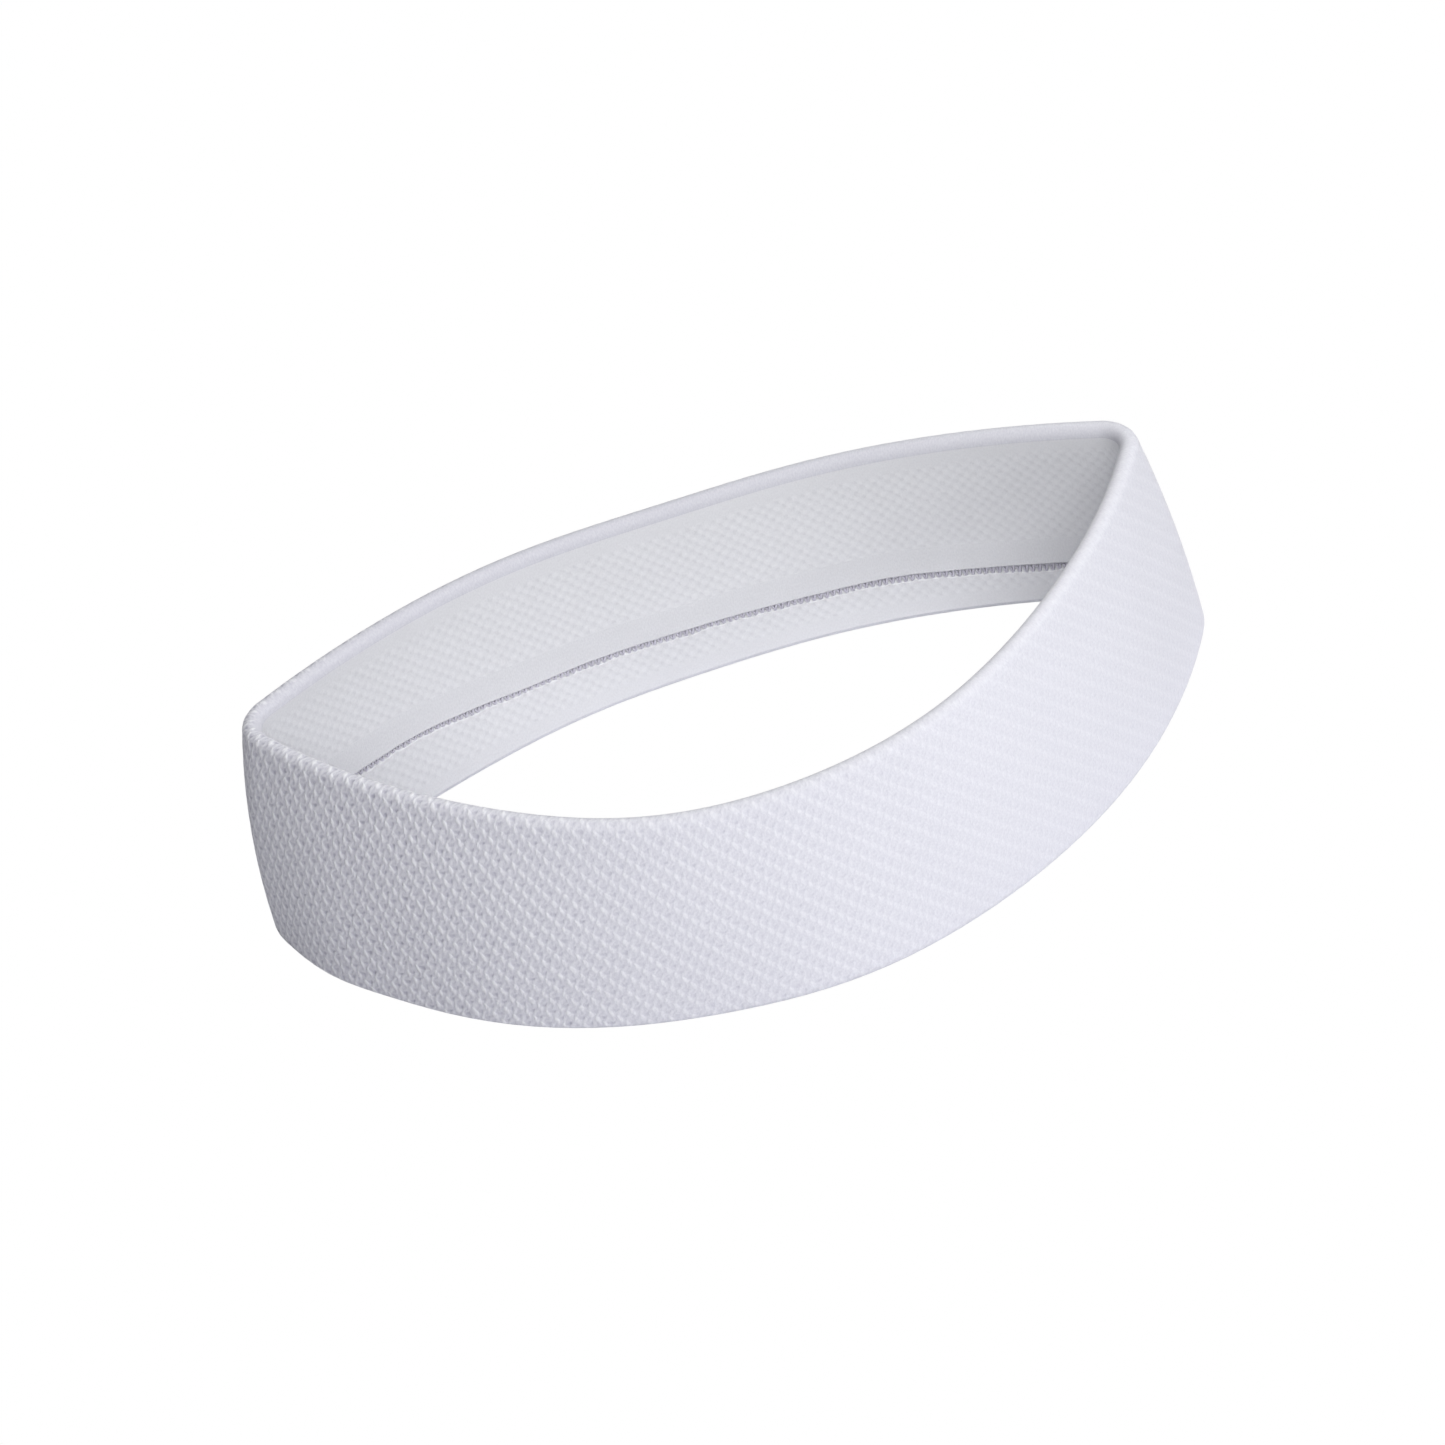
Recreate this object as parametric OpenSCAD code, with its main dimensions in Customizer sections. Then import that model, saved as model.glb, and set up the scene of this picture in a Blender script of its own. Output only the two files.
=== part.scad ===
// Sports headband: a knitted sweatband, folded double, with one seam round its inside.
// Millimetres. +Z is up and the band stands on its lower fold. The origin is under the middle
// of the outline, at that fold. -Y is the front, +Y is the back, and X runs along the band.

/* [Outline at mid height] */
// Radius of the arc across the front
front_r = 93; // [80:1:105]
// Angle from the middle of the front arc to its end
front_turn = 27; // [20:1:30]
// Radius of the arc on each side of the front
side_r = 119.5; // [106:0.5:145]
// Angle that each side arc turns through
side_turn = 36; // [32:1:42]
// Radius of the tight bend at each end
end_r = 10.5; // [9:0.5:18]
// Angle that each end bend turns through
end_turn = 90.5; // [88:0.5:96]

/* [Band] */
// Height of the band along its slope, from fold to fold
band_h = 50; // [40:1:75]
// Angle by which the wall leans inwards towards the top
lean = 5.6; // [0:0.1:8]
// Width of the flat that the lower fold rests on
rest_w = 1.2; // [0.6:0.1:1.8]

/* [Fabric] */
// Thickness of one ply of the knitted fabric
ply_t = 1.5; // [1:0.1:2]

/* [Inside seam] */
// Height of the welt's lower lip at the middle of the band
seam_h = 14.5; // [12:0.5:25]
// Angle by which the seam climbs towards -X
seam_tilt = 2.8; // [0:0.1:4]
// Width of the smooth welt that covers the seam
welt_w = 6.2; // [5.4:0.1:9]
// Thickness of the welt
welt_t = 1.3; // [0.8:0.1:2]
// How far the upper facing runs down behind the welt
facing_lap = 2.6; // [1:0.1:3]
// Width of the overlocking over the raw edge of the lower facing
overlock_w = 0.8; // [0.5:0.1:1.2]
// Size across the linking thread under the welt's lower lip
link_w = 0.7; // [0.4:0.1:1]

/* [Elastic] */
// Number of elastic yarns laid between the plies
yarn_count = 11; // [5:1:13]
// Diameter of one covered elastic yarn
yarn_d = 0.8; // [0.5:0.1:1.2]
// Clearance between an elastic yarn and each ply
yarn_clear = 0.1; // [0.05:0.05:0.3]
// Distance from the centre of each fold to the nearest elastic yarn
yarn_margin = 3; // [2:0.5:6]

/* [Hidden] */
$fn = 144;
// The tilted slabs that trim the seam's pieces are this big.
slab_size = 600;

inner_r = yarn_d / 2 + yarn_clear;
fold_r = inner_r + ply_t;
rest_drop = fold_r - sqrt(fold_r * fold_r - rest_w * rest_w / 4);
wall_span = band_h - 2 * fold_r;
mid_shift = wall_span / 2 * sin(lean);
yarn_pitch = (wall_span - 2 * yarn_margin) / (yarn_count - 1);
facing_end = welt_w - facing_lap;

// The outward normal where one arc meets the next, from the front round to the back.
front_end = -90 + front_turn;
side_end = front_end + side_turn;
bend_end = side_end + end_turn;

function toward(angle) = [cos(angle), sin(angle)];

// Arcs that meet smoothly share a normal, and both centres lie on it. The back arc's radius is
// the one that brings its centre to the middle of the band.
front_c = [0, 0];
side_c = front_c + (front_r - side_r) * toward(front_end);
end_c = side_c + (side_r - end_r) * toward(side_end);
back_r = end_r + end_c[0] / cos(bend_end);
back_c = end_c + (end_r - back_r) * toward(bend_end);
centre_y = (back_c[1] + back_r + front_c[1] - front_r) / 2;

yarn_names = [for (i = [1:yarn_count]) str("elastic_yarn_", i < 10 ? "0" : "", i)];

// A move in two steps, because a written solid keeps only six digits of each step.
module move_exactly(shift) {
    coarse = [for (s = shift) round(s * 100) / 100];
    translate(coarse)
        translate(shift - coarse)
            children();
}

// One arc of the outline carries the section in its children round its own centre.
module arc(centre, radius, from, turn) {
    move_exactly([centre[0], centre[1] - centre_y, 0])
        rotate_extrude(angle = turn, start = from)
            move_exactly([radius, 0])
                children();
}

// The whole closed outline. X of the section points outwards from it, and Y points up.
module round_the_band() {
    arc(front_c, front_r, -90 - front_turn, 2 * front_turn) children();
    arc(back_c, back_r, bend_end, 2 * (90 - bend_end)) children();
    for (side = [0, 1])
        mirror([side, 0, 0]) {
            arc(side_c, side_r, front_end, side_turn) children();
            arc(end_c, end_r, side_end, end_turn) children();
        }
}

// Sections are drawn upright, with the lower fold's centre at the origin, and lean here. The
// band then stands on the flat of its lower fold, and leans about its mid height.
module leaning() {
    translate([mid_shift, fold_r - rest_drop])
        rotate(lean)
            children();
}

// A layer of the wall, from fold to fold, whose inner side is at the given place.
module layer_section(inner_side, thickness) {
    leaning()
        translate([inner_side, 0])
            square([thickness, wall_span]);
}

// One fold: half a ring that opens downwards.
module fold_section() {
    intersection() {
        difference() {
            circle(fold_r);
            circle(inner_r);
        }
        translate([-fold_r, 0])
            square([2 * fold_r, fold_r]);
    }
}

// The outer ply with both folds, cut flat where the lower fold rests.
module outer_section() {
    difference() {
        union() {
            layer_section(inner_r, ply_t);
            leaning() {
                translate([0, wall_span])
                    fold_section();
                mirror([0, 1])
                    fold_section();
            }
        }
        translate([mid_shift - fold_r, -fold_r])
            square([2 * fold_r, fold_r]);
    }
}

// Everything between two tilted planes, given as heights above the welt's lower lip.
module between(low, high) {
    translate([0, 0, seam_h])
        rotate([0, seam_tilt, 0])
            translate([-slab_size / 2, -slab_size / 2, low])
                cube([slab_size, slab_size, high - low]);
}

// The part of the inner ply that lies between two heights.
module facing(low, high) {
    intersection() {
        round_the_band() layer_section(-fold_r, ply_t);
        between(low, high);
    }
}

// A strip that lies on the inside of the inner ply, between two heights.
module strip(thickness, low, high) {
    intersection() {
        round_the_band() layer_section(-fold_r - thickness, thickness);
        between(low, high);
    }
}

// Outer wall, with the upper and lower folds.
module outer_panel() {
    color("whitesmoke")
        round_the_band()
            outer_section();
}

// Inner wall above the seam. Its lower end runs down behind the welt.
module upper_facing() {
    color("gainsboro")
        facing(facing_end, slab_size / 2);
}

// Inner wall below the seam. Its raw edge is tucked up behind the welt.
module lower_facing() {
    color("lightgrey")
        facing(-slab_size / 2, facing_end - overlock_w);
}

// Thread bound over the raw edge of the lower facing.
module overlock_edge() {
    color("lavender")
        facing(facing_end - overlock_w, facing_end);
}

// Smooth welt that covers the seam.
module seam_welt() {
    color("ghostwhite")
        strip(welt_t, 0, welt_w);
}

// Thread that links the welt's lower lip to the lower facing.
module linking_thread() {
    color("lavender")
        strip(link_w, -link_w, 0);
}

// One covered elastic yarn between the plies. Number 1 is the lowest.
module elastic_yarn(number) {
    color("white")
        round_the_band()
            leaning()
                translate([0, yarn_margin + (number - 1) * yarn_pitch])
                    circle(d = yarn_d);
}

outer_panel();
upper_facing();
lower_facing();
seam_welt();
overlock_edge();
linking_thread();
for (i = [1:yarn_count])
    elastic_yarn(i);
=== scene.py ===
"""Sports headband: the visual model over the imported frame, in metres.

The band is a knitted tube folded double. It stands on its lower fold. Two numbers give every
place on it: how far round, from 0 at the middle of the front through +X, and a place in the
wall's own section, where out points away from the middle of the wall and up runs along its
slope from the lower fold's centre.
"""
import logging
import math
from dataclasses import dataclass
from enum import Enum
from typing import Any

import bpy
import numpy as np
from bpy.types import Material, Mesh, NodeSocket, NodeTree, Object
from mathutils import Matrix, Vector


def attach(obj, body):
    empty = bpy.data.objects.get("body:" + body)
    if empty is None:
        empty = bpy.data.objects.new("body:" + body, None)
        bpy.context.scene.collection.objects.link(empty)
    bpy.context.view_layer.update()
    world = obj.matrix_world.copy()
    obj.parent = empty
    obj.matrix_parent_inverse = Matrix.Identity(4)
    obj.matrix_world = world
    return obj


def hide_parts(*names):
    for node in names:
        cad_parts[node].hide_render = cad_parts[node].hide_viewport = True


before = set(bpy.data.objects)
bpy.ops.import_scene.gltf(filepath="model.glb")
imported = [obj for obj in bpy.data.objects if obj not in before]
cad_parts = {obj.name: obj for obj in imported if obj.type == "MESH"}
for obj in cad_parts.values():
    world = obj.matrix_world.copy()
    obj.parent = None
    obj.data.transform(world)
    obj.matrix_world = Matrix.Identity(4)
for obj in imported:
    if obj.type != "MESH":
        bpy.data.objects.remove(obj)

MM = 0.001
KNIT_MAP = "knit"  # U counts wales round the band, V counts rows
BAKE_MAP = "OFBake"  # the whole surface laid out once, in strips
WALES = 336  # stitches round the band: a multiple of both patterns' repeats
RIM_FINE, RIM_SLOW, LIP_SLOW, LIP_FINE, THICKNESS = 3, 4, 5, 6, 8  # seeds of ragged lines
Array = np.ndarray
Terms = tuple[tuple[int, float], ...]  # orders and sizes
Hills = tuple[tuple[float, float, float], ...]  # places round the band, widths and heights
log = logging.getLogger("headband")


# ---- shape of the band
@dataclass(frozen=True)
class Outline:
    """The line along the middle of the wall at mid height: smoothly joined arcs."""

    front_r: float = 93 * MM
    front_turn: float = 27.0
    side_r: float = 119.5 * MM
    side_turn: float = 36.0
    end_r: float = 10.5 * MM
    end_turn: float = 90.5

    def arcs(self) -> tuple[Array, Array, Array]:
        """The arcs in order from the middle of the front.

        Arcs that meet share a normal, so each centre lies on it at the difference of the
        radii. The back arc's radius brings its centre to X = 0. The left half mirrors the
        right half.

        Returns:
            Centres (7, 2), radii (7) and the normals' angles at the ends (8), in radians.
        """
        angles = np.radians(
            -90 + np.cumsum([0, self.front_turn, self.side_turn, self.end_turn])
        )
        ways = np.stack([np.cos(angles), np.sin(angles)], axis=1)
        front = np.zeros(2)
        side = front + (self.front_r - self.side_r) * ways[1]
        end = side + (self.side_r - self.end_r) * ways[2]
        back_r = self.end_r + end[0] / ways[3][0]
        back = end + (self.end_r - back_r) * ways[3]
        middle_y = (back[1] + back_r + front[1] - self.front_r) / 2
        right = np.array([front, side, end, back]) - [0, middle_y]
        centres = np.concatenate([right, right[2::-1] * [-1, 1]])
        radii = np.array([self.front_r, self.side_r, self.end_r, back_r])
        turned = np.concatenate([angles, math.pi - angles[::-1]])
        return centres, np.concatenate([radii, radii[2::-1]]), turned

    def lengths(self) -> Array:
        """The length from the middle of the front to the end of each arc."""
        _, radii, angles = self.arcs()
        return np.cumsum(radii * np.diff(angles))

    def around(self) -> float:
        """The length round the whole line."""
        return float(self.lengths()[-1])

    def at(self, u: Array) -> tuple[Array, Array]:
        """Places on the line and outward normals.

        The length s = u times the whole length falls on one arc. Its normal's angle is the
        arc's first angle plus (s - start) / radius, and the place is centre + radius normal.

        Args:
            u: How far round, from 0 to 1.

        Returns:
            Places and normals, each (len(u), 2).
        """
        centres, radii, angles = self.arcs()
        ends = self.lengths()
        s = (np.asarray(u) % 1.0) * ends[-1]
        k = np.minimum(np.searchsorted(ends, s, side="right"), len(radii) - 1)
        start = np.concatenate([[0.0], ends])[k]
        angle = angles[k] + (s - start) / radii[k]
        normal = np.stack([np.cos(angle), np.sin(angle)], axis=-1)
        return centres[k] + radii[k][:, None] * normal, normal


@dataclass(frozen=True)
class Waves:
    """A length that changes round the band with the angle a about +Z.

    It is level + the sum of cosines[k] cos ka + the sum of sines[k] sin ka.
    """

    level: float = 0.0
    cosines: Terms = ()
    sines: Terms = ()

    def at(self, angle: Array) -> Array:
        """The length at each angle.

        Args:
            angle: Angles about +Z, in radians.

        Returns:
            Lengths, in the same shape.
        """
        total = np.full(np.shape(angle), self.level)
        for wave, terms in ((np.cos, self.cosines), (np.sin, self.sines)):
            for order, size in terms:
                total = total + size * wave(order * angle)
        return total


@dataclass(frozen=True)
class Wall:
    """The double wall that stands on the outline, and leans inwards about its mid height.

    The cloth gives a little: its foot, belly and crown each stand in or out in slow waves.
    """

    outline: Outline = Outline()
    band_h: float = 50 * MM
    lean: float = 5.6
    rest_w: float = 1.2 * MM
    ply_t: float = 1.5 * MM
    yarn_d: float = 0.8 * MM
    yarn_clear: float = 0.1 * MM
    seam_h: float = 14.5 * MM
    seam_tilt: float = 2.8
    welt_w: float = 6.2 * MM
    facing_lap: float = 2.6 * MM
    overlock_w: float = 0.8 * MM
    row: float = 1.6 * MM
    lift: Waves = Waves(0.0, ((2, 1.4 * MM),), ((2, -0.6 * MM), (3, -0.2 * MM)))
    foot: Waves = Waves(
        0.4 * MM, (), ((2, 0.74 * MM), (3, -0.39 * MM), (4, 0.43 * MM), (5, -0.35 * MM))
    )
    crown: Waves = Waves(0.0, ((2, -0.85 * MM), (4, -0.68 * MM)))
    belly: Waves = Waves(0.9 * MM, ((2, 0.64 * MM),))
    foot_hills: Hills = ((0.722, 9 * MM, -1.1 * MM), (0.772, 12 * MM, 1.1 * MM))
    belly_hills: Hills = ((0.25, 25 * MM, -0.7 * MM),)
    pillow: float = 0.15 * MM  # how far the inner ply swells at mid height
    seam_rise: float = 0.9 * MM
    wander: Hills = (
        (0.12, 14 * MM, -0.6 * MM), (0.30, 12 * MM, 0.5 * MM), (0.402, 11 * MM, 0.7 * MM),
        (0.475, 9 * MM, 0.3 * MM), (0.567, 13 * MM, -0.8 * MM), (0.632, 11 * MM, 0.75 * MM),
        (0.80, 15 * MM, -0.5 * MM), (0.93, 12 * MM, 0.6 * MM),
    )

    @property
    def inner_r(self) -> float:
        """Radius of the hollow inside each fold."""
        return self.yarn_d / 2 + self.yarn_clear

    @property
    def fold_r(self) -> float:
        """Radius of the outside of each fold, half of the wall's thickness."""
        return self.inner_r + self.ply_t

    @property
    def span(self) -> float:
        """Length of the slope between the folds' centres."""
        return self.band_h - 2 * self.fold_r

    @property
    def base(self) -> float:
        """Height of the lower fold's centre over the floor."""
        return math.sqrt(self.fold_r**2 - self.rest_w**2 / 4)

    @property
    def middle(self) -> float:
        """Height of the middle of the slope over the floor."""
        return self.base + self.span / 2 * math.cos(math.radians(self.lean))

    def angle(self, u: Array) -> Array:
        """The angle about +Z of each place on the outline."""
        place, _ = self.outline.at(u)
        return np.arctan2(place[:, 1], place[:, 0])

    def place(self, u: Array, out: Array, up: Array) -> Array:
        """Points of the wall in space.

        The section turns by the lean about its mid height, so a point lies
        out cos(lean) - (up - span / 2) sin(lean) along the outline's normal. Its height is
        out sin(lean) + up cos(lean) above the lower fold's centre. With s the share that up
        has of the span, the point also rises by lift s, and moves out by
        foot (1 - s) + crown s + belly 4 s (1 - s).

        Args:
            u: How far round.
            out, up: Outwards from the middle of the wall and along the slope, (steps, points).

        Returns:
            Points, (steps, points, 3).
        """
        line, normal = self.outline.at(u)
        c, s = math.cos(math.radians(self.lean)), math.sin(math.radians(self.lean))
        away = out * c - (up - self.span / 2) * s
        share = np.clip(up / self.span, 0, 1)
        angle = self.angle(u)[:, None]
        foot = self.foot.at(angle) + self.hills(u, self.foot_hills)[:, None]
        belly = self.belly.at(angle) + self.hills(u, self.belly_hills)[:, None]
        away += foot * (1 - share) + self.crown.at(angle) * share
        away += belly * 4 * share * (1 - share)
        z = self.base + out * s + up * c + self.lift.at(angle) * share
        flat = line[:, None, :] + away[..., None] * normal[:, None, :]
        return np.concatenate([flat, np.maximum(z, 0)[..., None]], axis=-1)

    def hills(self, u: Array, hills: Hills) -> Array:
        """The sum of hills h e^(-(d / w)^2), with d the way round from each hill's place.

        Args:
            u: How far round.
            hills: Each hill's place round the band, width w and height h.

        Returns:
            Heights, (steps).
        """
        total = np.zeros(np.shape(u))
        for centre, wide, high in hills:
            d = ((np.asarray(u) - centre + 0.5) % 1.0 - 0.5) * self.outline.around()
            total = total + high * np.exp(-((d / wide) ** 2))
        return total

    def seam_up(self, u: Array) -> Array:
        """Where the welt's lower lip crosses the slope: a plane that sinks to +X, and hills."""
        z = self.seam_h - self.outline.at(u)[0][:, 0] * math.tan(math.radians(self.seam_tilt))
        up = (z - self.base) / math.cos(math.radians(self.lean))
        return up + self.hills(u, self.wander) + self.seam_rise

    def swell(self, up: Array) -> Array:
        """How far the inner ply swells: half a wave from fold to fold."""
        return self.pillow * np.sin(math.pi * np.clip(up / self.span, 0, 1))


def smooth(x: Array) -> Array:
    """Goes from 0 to 1 as x does, with level ends: 3 x^2 - 2 x^3 of x held in 0 to 1."""
    x = np.clip(x, 0, 1)
    return x * x * (3 - 2 * x)


def rough(u: Array, beads: int, seed: int) -> Array:
    """A ragged line round the band: seeded random numbers from -1 to 1, joined straight."""
    values = np.random.default_rng(seed).uniform(-1, 1, beads)
    return np.interp(np.asarray(u) % 1.0, np.arange(beads) / beads, values, period=1.0)


# ---- knit relief
class Pattern(Enum):
    """The ways in which the fabric is knitted."""

    SLANTED = "raised stitches in every third wale, one wale on in each row"
    CHECKER = "raised stitches in every second wale, in turns"
    PLAIN = "level jersey"

    def relief(self, wale: Array, row: Array) -> Array:
        """The slow part of a raised pattern's height, from -1 to 1.

        Slanted is a sum of two waves across its two families of lines, the steep one the
        stronger. Checker is the product of a wave along the rows and one along the wales.

        Args:
            wale, row: Numbers of wales and rows, in shapes that go together.

        Returns:
            Heights, in their common shape.
        """
        if self is Pattern.SLANTED:
            steep = np.cos(2 * math.pi * (wale - row) / 3)
            flat = np.cos(2 * math.pi * (2 * wale + row) / 3)
            return 0.65 * steep + 0.35 * flat
        return np.cos(math.pi * wale) * np.cos(math.pi * row)


def join(*parts: Array) -> Array:
    """The parts of a section's line, end to end at every step round the band."""
    return np.concatenate(parts, axis=1)


@dataclass
class Section:
    """A closed line round a piece's section, at every step round the band.

    The line runs up the side that faces out and down the side that faces in. out, up and
    row are arrays (steps, points). seen says for each point whether it is on the face that
    shows.
    """

    out: Array
    up: Array
    row: Array
    seen: Array


def grid(steps: int, count: int) -> tuple[Array, Array, Array]:
    """The quads of a grid that closes on itself both ways.

    Args:
        steps: Columns.
        count: Points in each column.

    Returns:
        Each corner's column and point, not wrapped round yet, and its vertex, (faces, 4).
    """
    i, k = np.meshgrid(np.arange(steps), np.arange(count), indexing="ij")
    columns = np.stack([i, i + 1, i + 1, i], axis=-1).reshape(-1, 4)
    rows = np.stack([k, k, k + 1, k + 1], axis=-1).reshape(-1, 4)
    return columns, rows, (columns % steps) * count + rows % count


def add_map(mesh: Mesh, name: str, places: Array) -> None:
    """Writes one UV map, corner by corner."""
    layer = mesh.uv_layers.new(name=name)
    layer.uv.foreach_set("vector", places.astype(np.float32).ravel())


def put(name: str, data: bpy.types.ID) -> Object:
    """Puts a mesh, lamp or camera into the scene as an object of this name."""
    placed = bpy.data.objects.new(name, data)
    bpy.context.scene.collection.objects.link(placed)
    return placed


@dataclass(frozen=True)
class RingMesh:
    """Makes a piece's mesh from a closed section carried round the wall in so many steps."""

    HIDDEN_SHARE = 0.08  # of the bake map, for faces that never show
    CLEAR_EDGE = 0.01  # of a strip of that map, left empty along its edges
    SHARP_ANGLE = 62.0  # degrees between faces, over which an edge is a rim

    wall: Wall
    name: str
    steps: int

    @property
    def u(self) -> Array:
        """How far round the band each column is."""
        return np.arange(self.steps) / self.steps

    @property
    def wale(self) -> Array:
        """The wale number of each column, as one column of an array."""
        return self.u[:, None] * WALES

    def build(self, section: Section) -> Object:
        """The grid of steps by points, closed both ways, with its two UV maps.

        Args:
            section: The section at every step.

        Returns:
            The new object, smooth but for its rims.
        """
        points = self.wall.place(self.u, section.out, section.up)
        steps, count = points.shape[:2]
        columns, rows, faces = grid(steps, count)
        mesh = bpy.data.meshes.new(self.name)
        mesh.vertices.add(steps * count)
        mesh.vertices.foreach_set("co", points.astype(np.float32).ravel())
        mesh.loops.add(faces.size)
        mesh.loops.foreach_set("vertex_index", faces.astype(np.int32).ravel())
        mesh.polygons.add(len(faces))
        mesh.polygons.foreach_set("loop_start", np.arange(0, faces.size, 4, dtype=np.int32))
        mesh.update(calc_edges=True)
        knit = np.stack(
            [columns * (WALES / steps), section.row[columns % steps, rows % count]], axis=-1
        )
        add_map(mesh, KNIT_MAP, knit)
        add_map(mesh, BAKE_MAP, self._strips(points, section, columns, rows))
        mesh.polygons.foreach_set("use_smooth", np.ones(len(faces), bool))
        mesh.set_sharp_from_angle(angle=math.radians(self.SHARP_ANGLE))
        return put(self.name, mesh)

    def _strips(self, points: Array, section: Section, columns: Array, rows: Array) -> Array:
        """Places on a square map: the ring is cut across into strips, laid one over another.

        A strip is as wide as the map. Its height is shared by length along the section, with
        little for what never shows.

        Args:
            points, section: The grid's points, (steps, points, 3), and their section.
            columns, rows: Each corner's column and its point in the column, (faces, 4).

        Returns:
            Places (faces, 4, 2).
        """
        gap = np.linalg.norm(np.roll(points, -1, axis=1) - points, axis=2).mean(axis=0)
        shown = section.seen & np.roll(section.seen, -1)
        length = np.where(shown, gap, 0).sum()
        weight = np.where(shown, gap / length * (1 - self.HIDDEN_SHARE), 0)
        weight += np.where(shown, 0, gap / gap[~shown].sum() * self.HIDDEN_SHARE)
        along = np.concatenate([[0], np.cumsum(weight)])
        strips = max(1, round(math.sqrt(self.wall.outline.around() / length)))
        strip = columns[:, :1] * strips // self.steps
        first = -(-strip * self.steps // strips)
        wide = -(-self.steps // strips)
        x = (columns - first) / wide
        edge = self.CLEAR_EDGE
        y = (strip + edge + (1 - 2 * edge) * along[rows]) / strips
        return np.stack([edge / 2 + (1 - edge) * x, y], axis=-1)


def tube_mesh(name: str, path: Array, radius: float, sides: int, rings_at: float) -> Object:
    """A round thread along a closed path.

    Each ring lies across the path's direction t: with a = the unit vector of t x Z and
    b = a x t, its points are path + radius (a cos w + b sin w) for even angles w.

    Args:
        name: The piece's name.
        path, radius: Points along the thread, (n, 3), and its radius.
        sides, rings_at: Points in a ring, and rings to each count of the knit map's V.

    Returns:
        The new object.
    """
    ahead = np.roll(path, -1, axis=0) - np.roll(path, 1, axis=0)
    ahead /= np.linalg.norm(ahead, axis=1, keepdims=True)
    a = np.cross(ahead, [0.0, 0.0, 1.0])
    a /= np.maximum(np.linalg.norm(a, axis=1, keepdims=True), 1e-9)
    b = np.cross(a, ahead)
    w = np.arange(sides) * (2 * math.pi / sides)
    ring = a[:, None] * np.cos(w)[:, None] + b[:, None] * np.sin(w)[:, None]
    points = path[:, None] + radius * ring
    columns, rows, faces = grid(len(path), sides)
    mesh = bpy.data.meshes.new(name)
    mesh.from_pydata(points.reshape(-1, 3), [], faces[:, ::-1])
    places = np.stack([rows / sides, columns / rings_at], axis=-1)[:, ::-1]
    add_map(mesh, KNIT_MAP, places)
    mesh.polygons.foreach_set("use_smooth", np.ones(len(faces), bool))
    return put(name, mesh)


# ---- shader graphs
class Value:
    """A number in a shader graph, with the arithmetic that the patterns are written in."""

    def __init__(self, graph: "Graph", socket: NodeSocket) -> None:
        """Wraps one output socket of the graph."""
        self.graph, self.socket = graph, socket

    def math(self, operation: str, *others: Any) -> "Value":
        """A Math node on this value and up to two others."""
        return self.graph.math(operation, self, *others)

    def __add__(self, other: Any) -> "Value":
        """This plus other."""
        return self.math("ADD", other)

    def __mul__(self, other: Any) -> "Value":
        """This times other."""
        return self.math("MULTIPLY", other)

    def __sub__(self, other: Any) -> "Value":
        """This less other."""
        return self.math("SUBTRACT", other)

    def __rsub__(self, other: Any) -> "Value":
        """Other less this."""
        return self.graph.math("SUBTRACT", other, self)

    def __truediv__(self, other: Any) -> "Value":
        """This over other."""
        return self.math("DIVIDE", other)

    __radd__, __rmul__ = __add__, __mul__

    def near(self, every: float) -> "Value":
        """How far this is past the nearest multiple of every, from -every/2 to every/2."""
        return self.math("WRAP", every / 2, -every / 2)

    def held(self, low: float = 0.0, high: float = 1.0) -> "Value":
        """This held between low and high."""
        return self.math("MAXIMUM", low).math("MINIMUM", high)

    def over(self, level: float) -> "Value":
        """How far this is over a level, or 0."""
        return (self - level).math("MAXIMUM", 0.0)


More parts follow.
